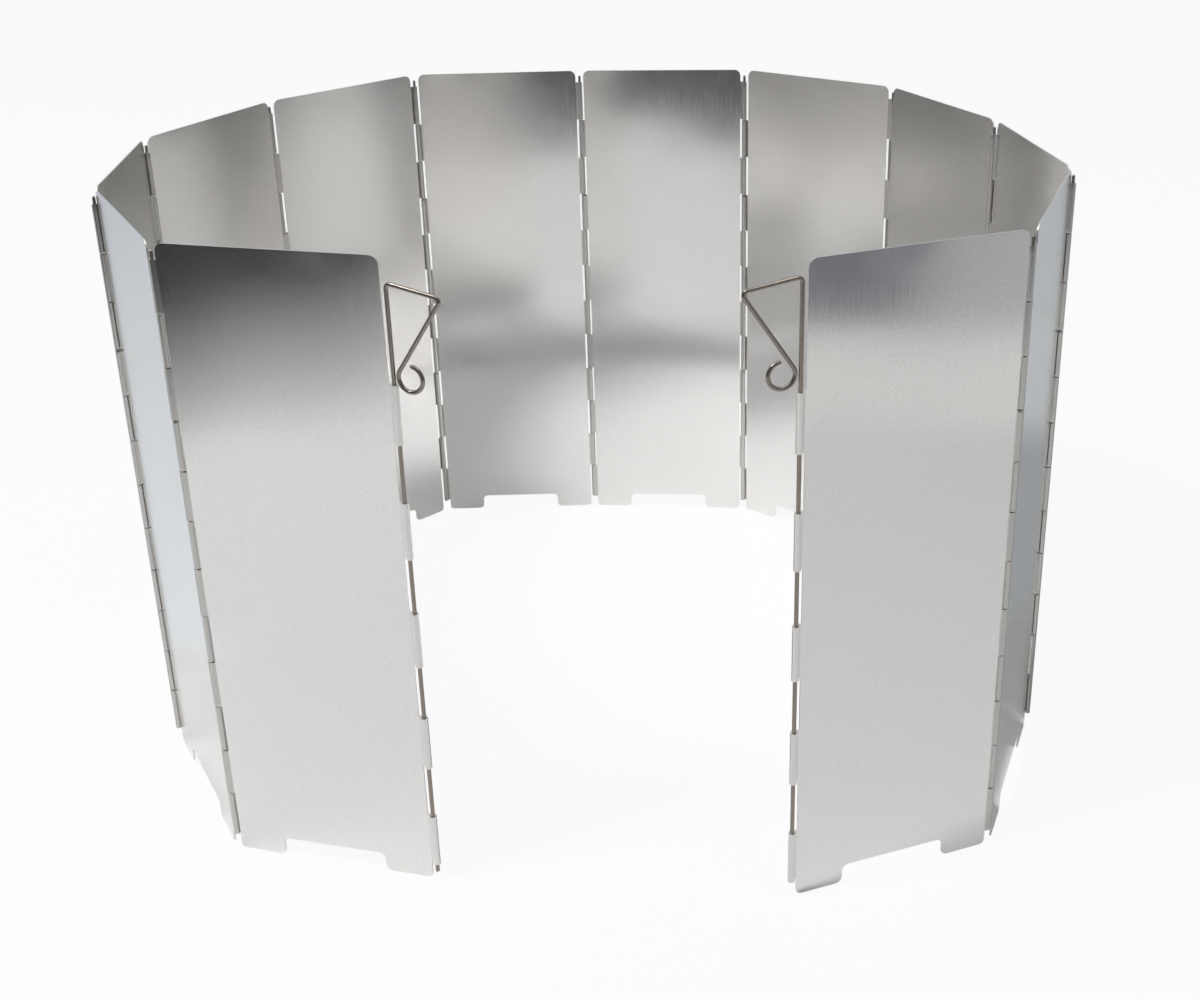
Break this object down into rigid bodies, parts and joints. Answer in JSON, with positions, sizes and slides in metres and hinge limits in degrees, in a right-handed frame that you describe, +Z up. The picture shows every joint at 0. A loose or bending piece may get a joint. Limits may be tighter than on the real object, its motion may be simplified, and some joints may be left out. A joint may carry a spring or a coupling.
{
  "type": "stove windscreen",
  "caption": "Folding camp-stove windscreen: tall aluminium sheet panels hinged on wire pins stand in a C round a burner, with air notches at the feet and a wire handle at each end.",
  "frame": {"origin": "on the ground, below the middle of the box round the standing screen", "axes": "+Z up along the hinge axes, -Y out through the open mouth of the C, +X to the right seen from the mouth"},
  "size_m": [0.3702, 0.3252, 0.24],
  "materials": {
    "sheet_aluminium": "mill-finish rolled sheet, semi-gloss",
    "hinge_wire": "drawn wire, satin",
    "end_pin_wire": "drawn wire, dark satin"
  },
  "bodies": {
    "panel_1": {"panel_1": "sheet_aluminium", "hinge_pin_1": "hinge_wire"},
    "panel_2": {"panel_2": "sheet_aluminium", "hinge_pin_2": "hinge_wire"},
    "panel_3": {"panel_3": "sheet_aluminium", "hinge_pin_3": "hinge_wire"},
    "panel_4": {"panel_4": "sheet_aluminium", "hinge_pin_4": "hinge_wire"},
    "panel_5": {"panel_5": "sheet_aluminium", "hinge_pin_5": "hinge_wire"},
    "panel_6": {"panel_6": "sheet_aluminium", "hinge_pin_6": "hinge_wire"},
    "panel_7": {"panel_7": "sheet_aluminium", "hinge_pin_7": "hinge_wire"},
    "panel_8": {"panel_8": "sheet_aluminium", "hinge_pin_8": "hinge_wire"},
    "panel_9": {"panel_9": "sheet_aluminium", "hinge_pin_9": "hinge_wire"},
    "panel_10": {"panel_10": "sheet_aluminium", "hinge_pin_10": "hinge_wire"},
    "panel_11": {"panel_11": "sheet_aluminium", "hinge_pin_11": "hinge_wire"},
    "panel_12": {"panel_12": "sheet_aluminium"},
    "left_end_pin": {"left_end_pin": "end_pin_wire"},
    "right_end_pin": {"right_end_pin": "end_pin_wire"}
  },
  "joints": [
    {"name": "hinge_5", "type": "hinge", "parent": "panel_6", "child": "panel_5", "pos_m": [-0.09475, 0.15534, 0.12], "axis": [0, 0, 1], "range_deg": [-12, 133.28]},
    {"name": "hinge_4", "type": "hinge", "parent": "panel_5", "child": "panel_4", "pos_m": [-0.15183, 0.09644, 0.12], "axis": [0, 0, -1], "range_deg": [-17.57, 195.03]},
    {"name": "hinge_3", "type": "hinge", "parent": "panel_4", "child": "panel_3", "pos_m": [-0.18374, 0.02089, 0.12], "axis": [0, 0, 1], "range_deg": [-15, 146.02]},
    {"name": "hinge_2", "type": "hinge", "parent": "panel_3", "child": "panel_2", "pos_m": [-0.17531, -0.06069, 0.12], "axis": [0, 0, -1], "range_deg": [-20.65, 200.91]},
    {"name": "hinge_1", "type": "hinge", "parent": "panel_2", "child": "panel_1", "pos_m": [-0.13052, -0.12939, 0.12], "axis": [0, 0, 1], "range_deg": [-13.5, 131.33]},
    {"name": "hinge_6", "type": "hinge", "parent": "panel_6", "child": "panel_7", "pos_m": [-0.01294, 0.16121, 0.12], "axis": [0, 0, 1], "range_deg": [-15, 182.28]},
    {"name": "hinge_7", "type": "hinge", "parent": "panel_7", "child": "panel_8", "pos_m": [0.06886, 0.15534, 0.12], "axis": [0, 0, -1], "range_deg": [-11.87, 144.07]},
    {"name": "hinge_8", "type": "hinge", "parent": "panel_8", "child": "panel_9", "pos_m": [0.13613, 0.10842, 0.12], "axis": [0, 0, 1], "range_deg": [-20, 204.82]},
    {"name": "hinge_9", "type": "hinge", "parent": "panel_9", "child": "panel_10", "pos_m": [0.16935, 0.03343, 0.12], "axis": [0, 0, -1], "range_deg": [-15.7, 160.73]},
    {"name": "hinge_10", "type": "hinge", "parent": "panel_10", "child": "panel_11", "pos_m": [0.18374, -0.04731, 0.12], "axis": [0, 0, 1], "range_deg": [-20, 204.82]},
    {"name": "hinge_11", "type": "hinge", "parent": "panel_11", "child": "panel_12", "pos_m": [0.15421, -0.12383, 0.12], "axis": [0, 0, -1], "range_deg": [-12.64, 129.37]},
    {"name": "left_handle_swivel", "type": "hinge", "parent": "panel_1", "child": "left_end_pin", "pos_m": [-0.05063, -0.14794, 0.12], "axis": [0, 0, -1], "range_deg": [-110, 160]},
    {"name": "right_handle_swivel", "type": "hinge", "parent": "panel_12", "child": "right_end_pin", "pos_m": [0.07875, -0.15596, 0.12], "axis": [0, 0, 1], "range_deg": [-110, 160]}
  ],
  "couplings": [
    {"joint": "hinge_2", "follows": "hinge_3", "ratio": 1.3758},
    {"joint": "hinge_1", "follows": "hinge_3", "ratio": 0.89933},
    {"joint": "hinge_4", "follows": "hinge_5", "ratio": 1.4632},
    {"joint": "hinge_7", "follows": "hinge_6", "ratio": 0.79032},
    {"joint": "hinge_9", "follows": "hinge_8", "ratio": 0.78469},
    {"joint": "hinge_11", "follows": "hinge_10", "ratio": 0.63158}
  ]
}
